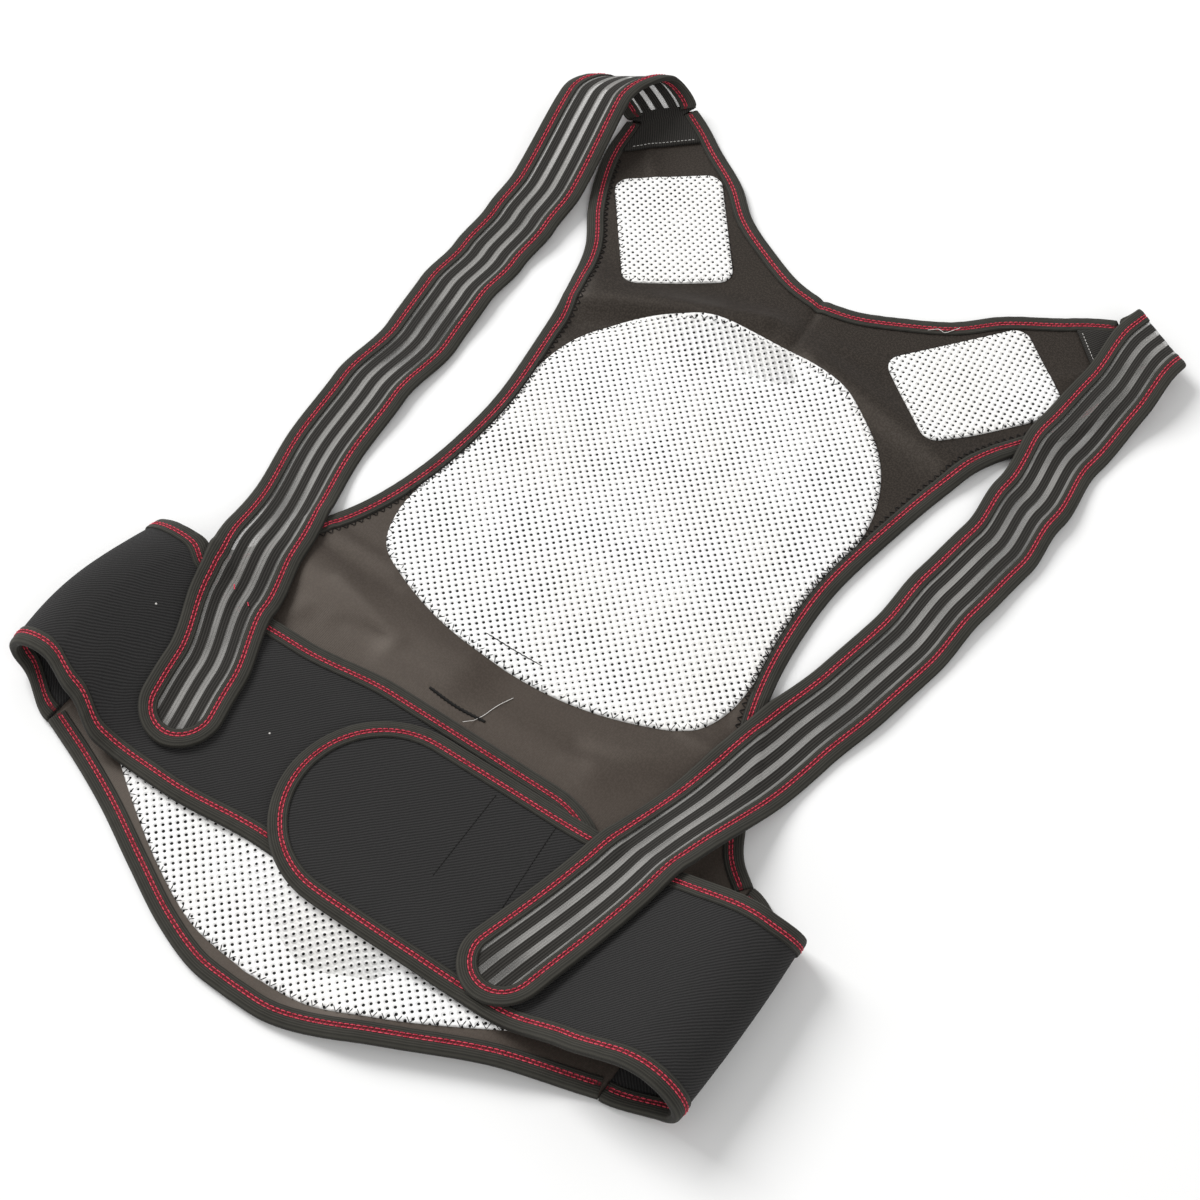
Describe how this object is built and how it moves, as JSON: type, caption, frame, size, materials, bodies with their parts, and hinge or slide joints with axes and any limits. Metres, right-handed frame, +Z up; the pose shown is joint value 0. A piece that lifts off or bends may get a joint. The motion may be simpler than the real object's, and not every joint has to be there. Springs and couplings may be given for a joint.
{
  "type": "posture corrector brace",
  "caption": "Back brace with a long spine panel, soft dotted patches, folded belt wings and looped shoulder straps, all edged with a bound tape, lying open.",
  "frame": {"origin": "middle of the bounding box at the flat surface that the brace lies on", "axes": "+X across the back, towards the belt side with the shorter front layer; +Y up the spine from the tail to the neck edge; +Z up, away from the surface, with the face worn against the back uppermost"},
  "size_m": [0.4634, 0.6746, 0.0462],
  "materials": {
    "lining": "smooth dark brown-grey jersey with soft folds",
    "binding": "charcoal ribbed tape with a double row of red stitching",
    "spacer_mesh": "white knitted spacer mesh with rows of small dark dots",
    "loop_fabric": "black brushed loop cloth with a fine diagonal rib",
    "ribbed_elastic": "dark ribbed elastic with see-through mesh stripes along its length"
  },
  "bodies": {
    "root": {"back_panel": "lining", "neck_binding": "binding", "tail_binding": "binding", "left_underarm_binding": "binding", "right_underarm_binding": "binding", "center_patch": "spacer_mesh", "left_shoulder_patch": "spacer_mesh", "right_shoulder_patch": "spacer_mesh", "lumbar_patch": "spacer_mesh", "left_wing": "loop_fabric", "left_wing_binding": "binding", "right_wing": "loop_fabric", "right_wing_binding": "binding", "left_strap": "ribbed_elastic", "left_strap_binding": "binding", "right_strap": "ribbed_elastic", "right_strap_binding": "binding"}
  },
  "joints": []
}
